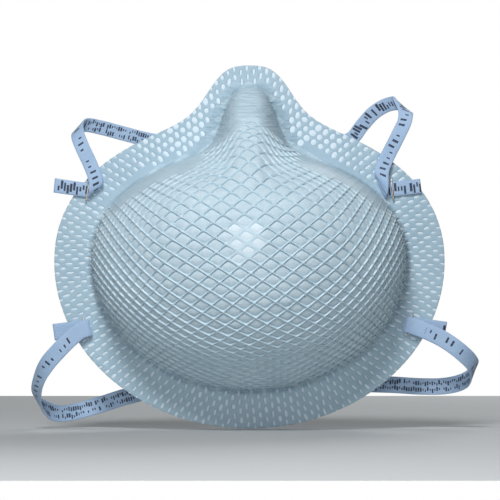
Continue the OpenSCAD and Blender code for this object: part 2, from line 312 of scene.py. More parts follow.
def oval(border):
    """Cell loop round a pressed hole, whose long side points out from the middle."""
    direction = ring(np.full(CELLS, 0.3), 3.0)
    heading = np.arctan2(direction[..., 1], direction[..., 0]) - radial[:, None]
    tight = np.linalg.norm(centres, axis=1) / np.maximum(
        np.hypot(*cup_point(cell_angle, cell_station)[:, [0, 2]].T), 1
    )
    a = ((hole_out + border) * FLANGE_DENSITY)[:, None]
    b = ((hole_across + border) * tight)[:, None]
    reach = 1 / np.sqrt((np.cos(heading) / a) ** 2 + (np.sin(heading) / b) ** 2)
    full = heading + radial[:, None]
    return reach[..., None] * np.stack([np.cos(full), np.sin(full)], -1)


def mix(a, b, share):
    share = np.asarray(share, float)
    return a + (b - a) * share.reshape(share.shape + (1,) * (np.ndim(a) - share.ndim))


STRAND_HALF = 0.31
slim = STRAND_HALF / np.clip(stretch, 0.5, 1.4) * (1 + 1.5 * spot_share)
RIM_DEPTH = 0.3


def lay(offsets, depth):
    """Points of a loop of every cell on the cup: offsets from the centres, and depths below the front."""
    angle, station, past = net_to_cup(centres[:, None, :] + offsets)
    depth = np.where(past, RIM_DEPTH, depth)
    return layer_point(angle, station, depth), past


def relief_of(offsets):
    """1 where the net stands proud on the dome, 0 where it is pressed flat."""
    points = centres[:, None, :] + offsets
    angle, station, _ = net_to_cup(points)
    band = flange_radius(angle) - foot_radius(angle)
    fade = np.where(band > 2.6, 0.07, 0.02)
    spot = smooth((np.linalg.norm(points - SPOT, axis=-1) - SPOT_RADIUS + 1.8) / 2.4)
    proud = 1 - smooth((station - 1 + fade) / (fade * 1.6))
    return proud * (0.15 + 0.85 * spot) * (1 - nose_press(angle, station))


def mesh_piece(name, points, faces):
    """One mesh object from points in millimetres and a list of faces."""
    mesh = bpy.data.meshes.new(name)
    mesh.from_pydata((points * MM).tolist(), [], faces)
    piece = bpy.data.objects.new(name, mesh)
    bpy.context.scene.collection.objects.link(piece)
    return piece


def keep_value(piece, label, value, domain="POINT"):
    """A named value on every point or face, which the materials read."""
    attribute = piece.data.attributes.new(label, "FLOAT", domain)
    attribute.data.foreach_set("value", np.asarray(value).astype(np.float32))


def tidy_mesh(piece, reach=2e-6):
    """Joins points that coincide, drops loose ones, and turns all faces outward and smooth."""
    work = bmesh.new()
    work.from_mesh(piece.data)
    bmesh.ops.remove_doubles(work, verts=work.verts, dist=reach)
    bmesh.ops.dissolve_degenerate(work, edges=work.edges, dist=1e-7)
    loose = [v for v in work.verts if not v.link_faces]
    bmesh.ops.delete(work, geom=loose, context="VERTS")
    bmesh.ops.recalc_face_normals(work, faces=work.faces)
    work.to_mesh(piece.data)
    work.free()
    for polygon in piece.data.polygons:
        polygon.use_smooth = True
    return piece


def loop_faces(loops):
    """Quads between neighbouring loops, for every cell; loops are blocks of CELLS x AROUND points."""
    cell = np.arange(CELLS)[:, None] * AROUND
    k = np.arange(AROUND)[None]
    here, there = cell + k, cell + (k + 1) % AROUND
    size = CELLS * AROUND
    return np.concatenate([
        np.stack([here + i * size, there + i * size, there + j * size, here + j * size], -1).reshape(-1, 4)
        for i, j in loops
    ])


# -- the net itself: a crest on each strand, its two sides, a hole edge and an underside --
crest = ring(np.zeros(CELLS), 400.0)
shoulder = ring(slim * 0.55, 16.0)
flank_loop = ring(slim * 0.95, 8.0)
hole = ring(slim * 1.12, 6.0)
pressed_hole, pressed_flank = oval(0.0), oval(0.07)
hole = mix(hole, ring(slim * 1.12, 2.8), spot_share)
hole = mix(hole, pressed_hole, pressed)
flank_loop = mix(flank_loop, pressed_flank, pressed)
shoulder = mix(shoulder, (crest + pressed_flank) / 2, pressed)
hole[holeless] *= 0.5

local = square * 0.5 + 0.5
# Strand A passes under strand B, so it dips between two crossings
along_a = np.minimum(local[:, 0], 1 - local[:, 0]) * np.linalg.norm(STRAND_A)
dip = np.where(on_a_strand, 0.07 * smooth(along_a / 0.8), 0.0)[None]
waviness = np.sin(crest[..., 0] * 1.9 + centres[:, None, 0] * 1.9)
strand_noise = 0.02 * waviness * np.cos(centres[:, None, 1] * 1.3)
FLAT_TOP = 0.1
proud = [relief_of(loop) for loop in (crest, shoulder, flank_loop, hole)]
# Depth of each loop where the net stands proud, and where it is pressed flat
wanted = [
    (dip + strand_noise, FLAT_TOP), (dip + 0.13, FLAT_TOP),
    (dip * 0.5 + 0.46, FLAT_TOP + 0.03), (0.80, 0.30),
]
depths = [flat + (raised - flat) * p for (raised, flat), p in zip(wanted, proud)]
depths[3] = np.where(holeless[:, None], FLAT_TOP + 0.02, depths[3])
laid = [lay(loop, depth) for loop, depth in zip((crest, shoulder, flank_loop, hole), depths)]
laid.append(lay(crest, np.full(crest.shape[:2], 0.86)))
points = np.concatenate([p.reshape(-1, 3) for p, _ in laid])
gone = np.concatenate([g.reshape(-1) for _, g in laid])
underside = loop_faces([(3, 4)]).reshape(CELLS, AROUND, 4)[~holeless].reshape(-1, 4)
faces = np.concatenate([loop_faces([(0, 1), (1, 2), (2, 3)]), underside])
middle, middle_gone = lay(np.zeros((CELLS, 1, 2)), np.full((CELLS, 1), FLAT_TOP))
cell = np.arange(CELLS)[holeless][:, None]
k = np.arange(AROUND)[None]
fan = np.stack([
    3 * CELLS * AROUND + cell * AROUND + k,
    3 * CELLS * AROUND + cell * AROUND + (k + 1) % AROUND,
    np.broadcast_to(5 * CELLS * AROUND + cell, (len(cell), AROUND)),
    np.broadcast_to(5 * CELLS * AROUND + cell, (len(cell), AROUND)),
], -1).reshape(-1, 4)
points = np.concatenate([points, middle.reshape(-1, 3)])
gone = np.concatenate([gone, middle_gone.reshape(-1)])


def build(name, points, quads, fans, gone, **values):
    """Quads, and fans given as quads with a repeated last corner; values are kept on the points."""
    quads = quads[~gone[quads].all(axis=1)]
    fans = fans[~gone[fans].all(axis=1)][:, :3]
    piece = mesh_piece(name, points, quads.tolist() + fans.tolist())
    for label, value in values.items():
        keep_value(piece, label, value)
    return tidy_mesh(piece)


creased = []
for loop in (crest, shoulder, flank_loop, hole, crest):
    angle, station, _ = net_to_cup(centres[:, None, :] + loop)
    creased.append((nose_press(angle, station) * (1 - smooth((station - 1.9) / 0.3))).reshape(-1))
creased.append(nose_press(cell_angle, cell_station))
flat = np.concatenate([np.tile(np.repeat(pressed, AROUND), 5), pressed])
net = build("net_web", points, faces, fan, gone, creased=np.concatenate(creased), flat=flat)

# -- the shell's fabric: a puff in each hole of the net, and a plain back ----------------
tight_cell = np.clip(stretch * 1.15 - 0.1, 0.25, 1.0)
edge_depth = 0.82
puff = (0.48 + 0.08 * puff_noise) * tight_cell
puff_rings = [ring(np.full(CELLS, w), r) for w, r in ((0.32, 8.0), (0.75, 4.0), (1.35, 3.0))]
puff_rings = [mix(loop, pressed_hole * f, pressed) for loop, f in zip(puff_rings, (1.2, 0.9, 0.45))]
rise = (0.22, 0.72, 0.95)
proud = [relief_of(loop) for loop in puff_rings]
flat_depth = (0.34, 0.16, 0.10)
fabric = [lay(crest, np.full(crest.shape[:2], edge_depth))]
for loop, up, flat, p in zip(puff_rings, rise, flat_depth, proud):
    depth = flat + (edge_depth - puff[:, None] * up - flat) * p
    depth = np.where(holeless[:, None], 0.4, depth)
    fabric.append(lay(loop, depth))
centre_proud = relief_of(np.zeros((CELLS, 1, 2)))
centre_depth = 0.08 + (edge_depth - puff[:, None] - 0.08) * centre_proud
centre_depth = np.where(holeless[:, None], 0.4, centre_depth)
fabric.append(lay(np.zeros((CELLS, 1, 2)), centre_depth))
points = np.concatenate([p.reshape(-1, 3) for p, _ in fabric])
gone = np.concatenate([g.reshape(-1) for _, g in fabric])
faces = loop_faces([(0, 1), (1, 2), (2, 3)])
cell = np.arange(CELLS)[:, None]
size = CELLS * AROUND
here = 3 * size + cell * AROUND + k
there = 3 * size + cell * AROUND + (k + 1) % AROUND
middle = np.broadcast_to(4 * size + cell, (CELLS, AROUND))
fans = np.stack([here, there, middle, middle], -1).reshape(-1, 4)
bare = np.clip(pressed + spot_share, 0, 1)
bare = np.concatenate([np.tile(np.repeat(bare, AROUND), 4), bare])
shell = build("shell_fabric", points, faces, fans, gone, bare=bare)

# ---- The inner layers and the sealed edge, on a plain grid ------------------------------

COLUMNS = 300
grid_angles = np.linspace(-180, 180, COLUMNS, endpoint=False)
grid_stations = np.concatenate([
    np.linspace(0.03, 0.9, 28), np.linspace(0.92, 1.0, 6), np.linspace(1.15, 2, 6), np.linspace(2.2, 3, 5)
])


def sheet_between(name, front, back, dimple):
    """A closed sheet between two depths below the cup's front, with soft dimples on its back."""
    rings = len(grid_stations)
    angle, station = np.meshgrid(grid_angles, grid_stations)
    waves = dimple * np.sin(angle * 0.9 + 4 * station) * np.sin(station * 19 + angle * 0.11)
    layers = []
    for depth, noise in ((front, 0.0), (back, 1.0)):
        points = layer_point(angle, station, np.full(angle.shape, depth) + noise * waves).reshape(-1, 3)
        tip = np.array([[0, rim_y(0.0) - FOOT_LIFT - DOME_DEPTH + depth, APEX_HEIGHT]])
        layers.append(np.concatenate([points, tip]))
    count = rings * COLUMNS + 1
    quads, tris = [], []
    i = np.arange(COLUMNS)
    j = (i + 1) % COLUMNS
    for base in (0, count):
        for r in range(rings - 1):
            a = base + r * COLUMNS
            quads.append(np.stack([a + i, a + j, a + COLUMNS + j, a + COLUMNS + i], -1))
        tris.append(np.stack([base + i, base + j, np.full(COLUMNS, base + count - 1)], -1))
    last = (rings - 1) * COLUMNS
    quads.append(np.stack([last + i, last + j, last + count + j, last + count + i], -1))
    faces = np.concatenate(quads).tolist() + np.concatenate(tris).tolist()
    return tidy_mesh(mesh_piece(name, np.concatenate(layers), faces))


shell_back = sheet_between("shell_back", NET + SHELL - 0.3, NET + SHELL - 0.02, 0.0)
filter_layer = sheet_between("filter_layer", NET + SHELL, NET + SHELL + FILTER, 0.0)
lining = sheet_between("inner_lining_face", NET + SHELL + FILTER, LAMINATE, 0.03)

# The rim's cut edge, sealed from front to back
EDGE_COLUMNS = 480
SEAL_SIDES = 10
edge_angles = np.linspace(-180, 180, EDGE_COLUMNS, endpoint=False)
turns = np.linspace(0, 2 * math.pi, SEAL_SIDES, endpoint=False)


def flat_side(value):
    """Makes a circle's section squarer."""
    return math.copysign(abs(value) ** 0.6, value)


seal = []
for turn in turns:
    station = 3 - 0.035 * (1 - flat_side(math.cos(turn)))
    depth = LAMINATE * (0.5 + 0.46 * flat_side(math.sin(turn)))
    seal.append(layer_point(edge_angles, np.full(EDGE_COLUMNS, station), np.full(EDGE_COLUMNS, depth)))
seal = np.stack(seal, 1)
i = np.arange(EDGE_COLUMNS)[:, None] * SEAL_SIDES
n = (np.arange(EDGE_COLUMNS)[:, None] + 1) % EDGE_COLUMNS * SEAL_SIDES
s = np.arange(SEAL_SIDES)[None]
t = (s + 1) % SEAL_SIDES
rim_faces = np.stack([i + s, n + s, n + t, i + t], -1).reshape(-1, 4).tolist()
rim_seal = tidy_mesh(mesh_piece("rim_seal", seal.reshape(-1, 3), rim_faces))

# ---- Headbands --------------------------------------------------------------------------

# Each station is the band's middle and the direction across it
UPPER_ROUTE = [
    [[-70.0, -2.05, 27.5], [0.10, 0, 1]],
    [[-64.0, -3.3, 26.6], [0.12, 0, 1]],
    [[-58.0, -4.5, 25.7], [0.20, 0, 1]],
    [[-56.2, -4.9, 25.3], [0.70, 0, 0.80]],
    [[-55.4, -5.7, 25.4], [0.78, 0, 0.62]],
    [[-55.0, -7.0, 26.6], [0.84, 0, 0.50]],
    [[-55.2, -7.4, 30.0], [0.90, 0, 0.40]],
    [[-57.0, -6.8, 35.0], [0.86, 0, 0.48]],
    [[-59.8, -6.4, 41.0], [0.84, 0, 0.54]],
    [[-61.6, -3.4, 45.8], [0.80, 0.05, 0.60]],
    [[-61.4, 0.8, 48.4], [0.66, 0.05, 0.76]],
    [[-58.6, 4.4, 49.3], [0.45, 0, 0.90]],
    [[-53.0, 7.0, 48.3], [0.30, 0, 0.96]],
    [[-45.0, 9.0, 46.2], [0.27, 0, 0.96]],
    [[-35.0, 11.0, 43.8], [0.20, 0, 0.98]],
    [[-18.0, 12.6, 42.0], [0.06, 0, 1]],
    [[0, 13.2, 41.6], [0, 0, 1]],
    [[18.0, 12.6, 41.8], [-0.06, 0, 1]],
    [[30.0, 11.4, 42.4], [-0.30, 0, 0.95]],
    [[36.9, 10.4, 44.6], [-0.75, 0, 0.66]],
    [[40.5, 9.2, 49.0], [-0.90, 0, 0.44]],
    [[44.9, 7.4, 53.8], [-0.70, 0, 0.70]],
    [[49.8, 5.0, 56.6], [-0.50, 0, 0.86]],
    [[53.8, 2.0, 56.8], [-0.62, 0.10, 0.76]],
    [[55.8, -1.2, 54.4], [-0.90, 0.20, 0.40]],
    [[55.8, -3.6, 51.0], [-0.98, 0.10, 0.14]],
    [[53.2, -6.0, 45.2], [-0.90, 0, 0.42]],
    [[48.8, -6.8, 36.4], [-0.90, 0, 0.42]],
    [[47.4, -7.9, 32.4], [-0.96, 0.05, 0.28]],
    [[47.3, -8.3, 29.4], [-0.72, 0.25, 0.60]],
    [[47.5, -7.6, 27.2], [-0.50, 0.15, 0.85]],
    [[47.4, -6.8, 26.1], [-0.42, 0, 0.90]],
    [[48.0, -6.15, 25.8], [-0.36, 0, 0.93]],
    [[49.4, -5.85, 25.9], [-0.22, 0, 0.98]],
    [[52.0, -5.5, 26.1], [-0.12, 0, 1]],
    [[56.5, -4.7, 26.6], [-0.11, 0, 1]],
    [[61.4, -3.85, 27.3], [-0.12, 0, 1]],
]
LOWER_ROUTE = [
    [[-70.2, -2.1, -25.2], [-0.14, 0, 1]],
    [[-64.0, -3.3, -24.4], [-0.14, 0, 1]],
    [[-58.6, -4.35, -23.7], [-0.16, 0, 1]],
    [[-57.7, -4.7, -23.6], [-0.22, 0, 1]],
    [[-57.2, -5.3, -23.6], [-0.26, 0, 1]],
    [[-57.9, -5.95, -23.7], [-0.28, 0, 1]],
    [[-60.4, -6.2, -24.6], [-0.34, 0, 1]],
    [[-64.0, -6.2, -27.4], [-0.52, 0, 0.90]],
    [[-68.2, -6.1, -31.6], [-0.64, 0, 0.80]],
    [[-72.4, -4.8, -36.4], [-0.80, 0.20, 0.66]],
    [[-75.2, -1.6, -41.4], [-0.66, 0.66, 0.36]],
    [[-76.6, 2.4, -46.4], [-0.56, 0.74, 0.30]],
    [[-76.0, 6.4, -50.6], [-0.46, 0.36, 0.80]],
    [[-72.6, 10.2, -53.6], [-0.30, -0.12, 0.94]],
    [[-67.4, 12.2, -54.8], [-0.08, -0.10, 1]],
    [[-56.5, 13.2, -52.4], [-0.28, 0, 0.96]],
    [[-44.2, 13.6, -48.6], [-0.28, 0, 0.96]],
    [[-30.0, 14.0, -45.6], [-0.14, 0, 0.99]],
    [[0, 14.4, -44.2], [0, 0, 1]],
    [[30.0, 14.0, -44.0], [0.01, 0, 1]],
    [[51.2, 13.2, -44.4], [0.04, 0, 1]],
    [[62.0, 12.4, -45.0], [0, 0, 1]],
    [[70.6, 10.8, -44.8], [-0.06, 0, 1]],
    [[76.8, 8.2, -43.2], [0, 0.08, 1]],
    [[80.4, 4.0, -40.2], [0.30, 0.14, 0.94]],
    [[80.2, -1.4, -36.8], [0.56, 0.30, 0.70]],
    [[76.0, -5.4, -32.4], [0.60, 0.06, 0.76]],
    [[69.6, -6.1, -27.8], [0.44, 0, 0.88]],
    [[63.0, -6.2, -24.6], [0.34, 0, 0.94]],
    [[58.2, -6.3, -22.8], [0.30, 0, 1]],
    [[56.6, -6.2, -22.4], [0.28, 0, 1]],
    [[55.9, -5.6, -22.3], [0.26, 0, 1]],
    [[56.5, -5.0, -22.3], [0.24, 0, 1]],
    [[57.6, -4.6, -22.5], [0.20, 0, 1]],
    [[63.6, -3.5, -23.4], [0.17, 0, 1]],
    [[70.4, -2.2, -24.4], [0.17, 0, 1]],
]
BAND_STEPS = 9


def smooth_route(route):
    """The same smooth curve through the stations as the CAD source has, in finer steps."""
    gaps = [math.sqrt(math.dist(a[0], b[0])) for a, b in zip(route, route[1:])]
    values = np.array(route, float)
    slopes = np.zeros_like(values)
    for i in range(len(route)):
        if i == 0:
            slopes[i] = (values[1] - values[0]) / gaps[0]
        elif i == len(route) - 1:
            slopes[i] = (values[i] - values[i - 1]) / gaps[-1]
        else:
            before, after = gaps[i - 1], gaps[i]
            slopes[i] = (
                (values[i] - values[i - 1]) * after / before + (values[i + 1] - values[i]) * before / after
            ) / (before + after)
    out = []
    for i, h in enumerate(gaps):
        for step in range(BAND_STEPS):
            t = step / BAND_STEPS
            out.append(
                values[i] * (2 * t**3 - 3 * t**2 + 1) + slopes[i] * h * (t**3 - 2 * t**2 + t)
                + values[i + 1] * (3 * t**2 - 2 * t**3) + slopes[i + 1] * h * (t**3 - t**2)
            )
    out.append(values[-1])
    return np.array(out)


# The band's section: across it from -1 to 1, and through it from -1 to 1
SECTION = np.array([
    (-0.86, 1), (-0.5, 1), (0, 1), (0.5, 1), (0.86, 1), (0.965, 0.72), (1, 0), (0.965, -0.72),
    (0.86, -1), (0.5, -1), (0, -1), (-0.5, -1), (-0.86, -1), (-0.965, -0.72), (-1, 0), (-0.965, 0.72),
])


def tube_faces(rings, sides):
    """Quads along a tube of rings of points, and its two end caps last."""
    i = np.arange(rings - 1)[:, None] * sides
    s = np.arange(sides)[None]
    t = (s + 1) % sides
    walls = np.stack([i + s, i + t, i + sides + t, i + sides + s], -1).reshape(-1, 4).tolist()
    return walls + [list(range(sides)), list(range((rings - 1) * sides, rings * sides))[::-1]]


def headband(name, route, width, styles):
    """A flat woven band; styles lists (from station, to station, print style), for both of its sides."""
    path = smooth_route(route)
    middle, across = path[:, 0], unit(path[:, 1])
    along = unit(np.concatenate([
        middle[1:2] - middle[0:1], middle[2:] - middle[:-2], middle[-1:] - middle[-2:-1]
    ]))
    flat = np.cross(along, across)
    half = across * width / 2 / np.linalg.norm(flat, axis=1, keepdims=True)
    out = unit(flat) * BAND_THICKNESS / 2
    rings, sides = len(path), len(SECTION)
    points = middle[:, None] + half[:, None] * SECTION[None, :, :1] + out[:, None] * SECTION[None, :, 1:]
    length = np.concatenate([[0], np.cumsum(np.linalg.norm(np.diff(middle, axis=0), axis=1))])
    side_of = (SECTION[:, 1] + np.roll(SECTION[:, 1], -1)) / 2
    style = np.zeros((rings - 1, sides))
    station = np.arange(rings - 1) / BAND_STEPS
    for first, last, value in styles:
        style[np.ix_((station >= first) & (station < last), np.abs(side_of) > 0.5)] = value
    piece = mesh_piece(name, points.reshape(-1, 3), tube_faces(rings, sides))
    keep_value(piece, "band_along", np.repeat(length, sides))
    keep_value(piece, "band_across", np.tile(SECTION[:, 0] * width / 2, rings))
    keep_value(piece, "band_print", np.concatenate([style.reshape(-1), [0, 0]]), "FACE")
    work = bmesh.new()
    work.from_mesh(piece.data)
    bmesh.ops.recalc_face_normals(work, faces=work.faces)
    work.to_mesh(piece.data)
    work.free()
    for polygon in piece.data.polygons:
        polygon.use_smooth = len(polygon.vertices) == 4
    return piece


BOLD_ROW, TWO_ROWS, SPARSE_ROW = 1, 2, 3
upper_band = headband("upper_headband", UPPER_ROUTE, UPPER_WIDTH, [
    (0, 5, BOLD_ROW), (5, 11, SPARSE_ROW), (11, 19, TWO_ROWS),
    (19, 24, BOLD_ROW), (24, 29, SPARSE_ROW), (30, 37, BOLD_ROW),
])
lower_band = headband("lower_headband", LOWER_ROUTE, LOWER_WIDTH, [
    (7, 12, SPARSE_ROW), (12, 25, TWO_ROWS), (26, 28, SPARSE_ROW), (33, 36, SPARSE_ROW),
])

# ---- Staples ----------------------------------------------------------------------------


def staple(name, x, z, lean):
    """Round-cornered wire: crown in front of the band, legs through the rim, tips turned in behind it."""
    half = CROWN_LENGTH / 2 - WIRE / 2
    front = -BAND_THICKNESS - 0.1 - WIRE / 2
    back = PRESSED_LAMINATE + 0.05 + WIRE / 2
    tip = CROWN_LENGTH / 2 - CLINCH_LENGTH
    corners = np.array([
        (back + TIP_LIFT, -tip), (back, -half), (front, -half),
        (front, half), (back, half), (back + TIP_LIFT, tip),
    ])
    path = [corners[0]]
    for a, b, c in zip(corners, corners[1:], corners[2:]):
        start, end = b + unit(a - b) * BEND_RADIUS, b + unit(c - b) * BEND_RADIUS
        for t in np.linspace(0, 1, 7):
            path.append(start * (1 - t) ** 2 + b * 2 * t * (1 - t) + end * t**2)
    path.append(corners[-1])
    path = np.array(path)
    heading = unit(np.gradient(path, axis=0))
    normal = np.stack([-heading[:, 1], heading[:, 0]], -1)
    taper = np.ones(len(path))
    taper[[0, -1]] = 0.35
    sides = 12
    turns = (np.arange(sides) + 0.5) / sides * 2 * math.pi
    profile = np.stack([np.cos(turns), np.sin(turns)], -1)
    profile = profile / np.maximum(np.abs(profile) ** 5, 1e-9).sum(-1, keepdims=True) ** (1 / 5) * WIRE / 2
    rings = []
    for p, nrm, width in zip(path, normal, taper):
        offset = nrm[None] * profile[:, :1] * width
        rings.append(np.stack([profile[:, 1], p[0] + offset[:, 0], p[1] + offset[:, 1]], -1))
    points = np.array(rings).reshape(-1, 3)
    lean, yaw = math.radians(lean), math.atan(2 * RIM_BOW * x / HALF_WIDTH**2)
    spin = np.array([[math.cos(lean), 0, math.sin(lean)], [0, 1, 0], [-math.sin(lean), 0, math.cos(lean)]])
    swing = np.array([[math.cos(yaw), -math.sin(yaw), 0], [math.sin(yaw), math.cos(yaw), 0], [0, 0, 1]])
    points = points @ (swing @ spin).T + [x, rim_y(x), z]
    return tidy_mesh(mesh_piece(name, points, tube_faces(len(path), sides)))


# Where each staple's crown lies, across and up, and how far it leans in degrees, as in the CAD source
STAPLE_PLACES = {
    "upper_left": (-57.8, 25.5, 10),
    "upper_right": (51, 26, -6),
    "lower_left": (-58.7, -23.6, -12),
    "lower_right": (57.5, -22.3, 10),
}
staples = {"staple_" + side: staple("wire_" + side, *spot) for side, spot in STAPLE_PLACES.items()}

# ---- Materials --------------------------------------------------------------------------


class Nodes:
    """Short names for building a node tree."""

    def __init__(self, name):
        self.material = bpy.data.materials.new(name)
        self.material.use_nodes = True
        self.tree = self.material.node_tree
        self.tree.nodes.clear()
        self.shader = self.add("ShaderNodeBsdfPrincipled")
        output = self.add("ShaderNodeOutputMaterial")
        self.link(self.shader.outputs[0], output.inputs["Surface"])

    def add(self, kind, **settings):
        node = self.tree.nodes.new(kind)
        for key, value in settings.items():
            setattr(node, key, value)
        return node

    def link(self, source, target):
        self.tree.links.new(source, target)

    def value(self, target, source):
        if isinstance(source, (int, float, tuple)):
            target.default_value = source
        else:
            self.link(source, target)

    def math(self, operation, a, b=0.0, c=0.0):
        node = self.add("ShaderNodeMath", operation=operation)
        for socket, source in zip(node.inputs, (a, b, c)):
            self.value(socket, source)
        return node.outputs[0]

    def noise(self, scale, detail=2.0, rough=0.5, vector=None, stretch=None):
        node = self.add("ShaderNodeTexNoise")
        node.inputs["Scale"].default_value = scale
        node.inputs["Detail"].default_value = detail
        node.inputs["Roughness"].default_value = rough
        place = vector or self.add("ShaderNodeTexCoord").outputs["Object"]
        if stretch:
            mapping = self.add("ShaderNodeMapping")
            mapping.inputs["Scale"].default_value = stretch
            self.link(place, mapping.inputs["Vector"])
            place = mapping.outputs[0]
        self.link(place, node.inputs["Vector"])
        return node.outputs["Fac"]

    def ramp(self, source, low, high, low_to=0.0, high_to=1.0):
        node = self.add("ShaderNodeMapRange")
        for socket, value in zip(node.inputs, (None, low, high, low_to, high_to)):
            if value is not None:
                socket.default_value = value
        self.link(source, node.inputs[0])
        return node.outputs[0]

    def blend(self, share, a, b):
        node = self.add("ShaderNodeMix", data_type="RGBA")
        self.value(node.inputs[0], share)
        self.value(node.inputs[6], a)
        self.value(node.inputs[7], b)
        return node.outputs[2]

    def bump(self, height, strength, distance, under=None):
        node = self.add("ShaderNodeBump")
        node.inputs["Strength"].default_value = strength
        node.inputs["Distance"].default_value = distance
        self.link(height, node.inputs["Height"])
        if under:
            self.link(under, node.inputs["Normal"])
        return node.outputs[0]

    def finish(self, **sockets):
        for key, source in sockets.items():
            self.value(self.shader.inputs[key.replace("_", " ")], source)
        return self.material


def net_material():
    """Moulded plastic: faint clouds and grain, darker where it is pressed flat, creased on the nose, with
    painted shade in the grooves between the creases.
    """
    n = Nodes("net_plastic")
    cloud = n.noise(90, 3, 0.6)
    fine = n.noise(1400, 2, 0.6)
    tone = n.blend(n.ramp(cloud, 0.35, 0.65), (0.45, 0.60, 0.69, 1), (0.53, 0.68, 0.77, 1))
    tone = n.blend(n.ramp(fine, 0.45, 0.75, 0.0, 0.25), tone, (0.64, 0.76, 0.84, 1))
    flat = n.add("ShaderNodeAttribute", attribute_name="flat").outputs["Fac"]
    tone = n.blend(n.math("MULTIPLY", flat, 0.58), tone, (0.24, 0.37, 0.47, 1))
    rough = n.ramp(cloud, 0.3, 0.7, 0.38, 0.55)
    grain = n.bump(fine, 0.25, 0.00008)
    # Long thin creases across the pressed nose: a bump, and painted shade darkening the grooves between
    # them
    pressed_flat = n.add("ShaderNodeAttribute", attribute_name="creased").outputs["Fac"]
    high = n.add("ShaderNodeSeparateXYZ")
    n.link(n.add("ShaderNodeTexCoord").outputs["Object"], high.inputs[0])
    creased = n.math("MULTIPLY", pressed_flat, n.ramp(high.outputs[2], 0.034, 0.044))
    crease = n.noise(1, 4, 0.62, stretch=(120, 120, 1100))
    crease = n.math("MULTIPLY", n.ramp(crease, 0.3, 0.6), creased)
    # Painted shade: the grooves between the creases are darkened towards a deep blue
    crease_shade = n.math("MULTIPLY", n.math("SUBTRACT", creased, crease), 0.35)
    tone = n.blend(crease_shade, tone, (0.22, 0.33, 0.42, 1))
    grain = n.bump(crease, 0.8, 0.0003, grain)
    return n.finish(Base_Color=tone, Roughness=rough, Normal=grain, Specular_IOR_Level=0.4)


def fabric_material(name, low, high, fibre_scale=2600, felt=0.5, sheen=0.35, bare=None, bonds=False):
    """Pressed nonwoven: fine crossing fibres, and a soft mottle of denser and thinner places."""
    n = Nodes(name)
    one = n.noise(fibre_scale, 3, 0.7, stretch=(1.0, 0.4, 0.25))
    two = n.noise(fibre_scale * 0.8, 3, 0.7, stretch=(0.25, 0.5, 1.0))
    fibres = n.math("MAXIMUM", one, two)
    mottle = n.noise(260, 3, 0.6)
    cloud = n.noise(45, 2, 0.5)
    share = n.math("MULTIPLY_ADD", n.ramp(fibres, 0.45, 0.72), 0.5, n.ramp(mottle, 0.3, 0.7, 0.0, 0.5))
    tone = n.blend(share, low, high)
    tone = n.blend(n.ramp(cloud, 0.35, 0.65, 0.0, 0.18), tone, tuple(c * 0.9 for c in low[:3]) + (1,))
    if bare:
        tone = n.blend(n.add("ShaderNodeAttribute", attribute_name="bare").outputs["Fac"], tone, bare)
    relief = n.bump(fibres, felt, 0.00012)
    relief = n.bump(mottle, 0.3, 0.0003, relief)
    if bonds:
        # Small bond points pressed into the sheet, 1.7 mm apart
        cells = n.add("ShaderNodeTexVoronoi")
        cells.inputs["Scale"].default_value = 600
        cells.inputs["Randomness"].default_value = 0.35
        n.link(n.add("ShaderNodeTexCoord").outputs["Object"], cells.inputs["Vector"])
        point = n.ramp(cells.outputs["Distance"], 0.16, 0.34)
        shade = n.math("MULTIPLY_ADD", point, -0.4, 0.4)
        tone = n.blend(shade, tone, tuple(c * 0.62 for c in low[:3]) + (1,))
        relief = n.bump(point, 0.7, 0.0002, relief)
    return n.finish(
        Base_Color=tone, Roughness=0.85, Normal=relief, Sheen_Weight=sheen, Sheen_Roughness=0.5,
        Specular_IOR_Level=0.3,
    )


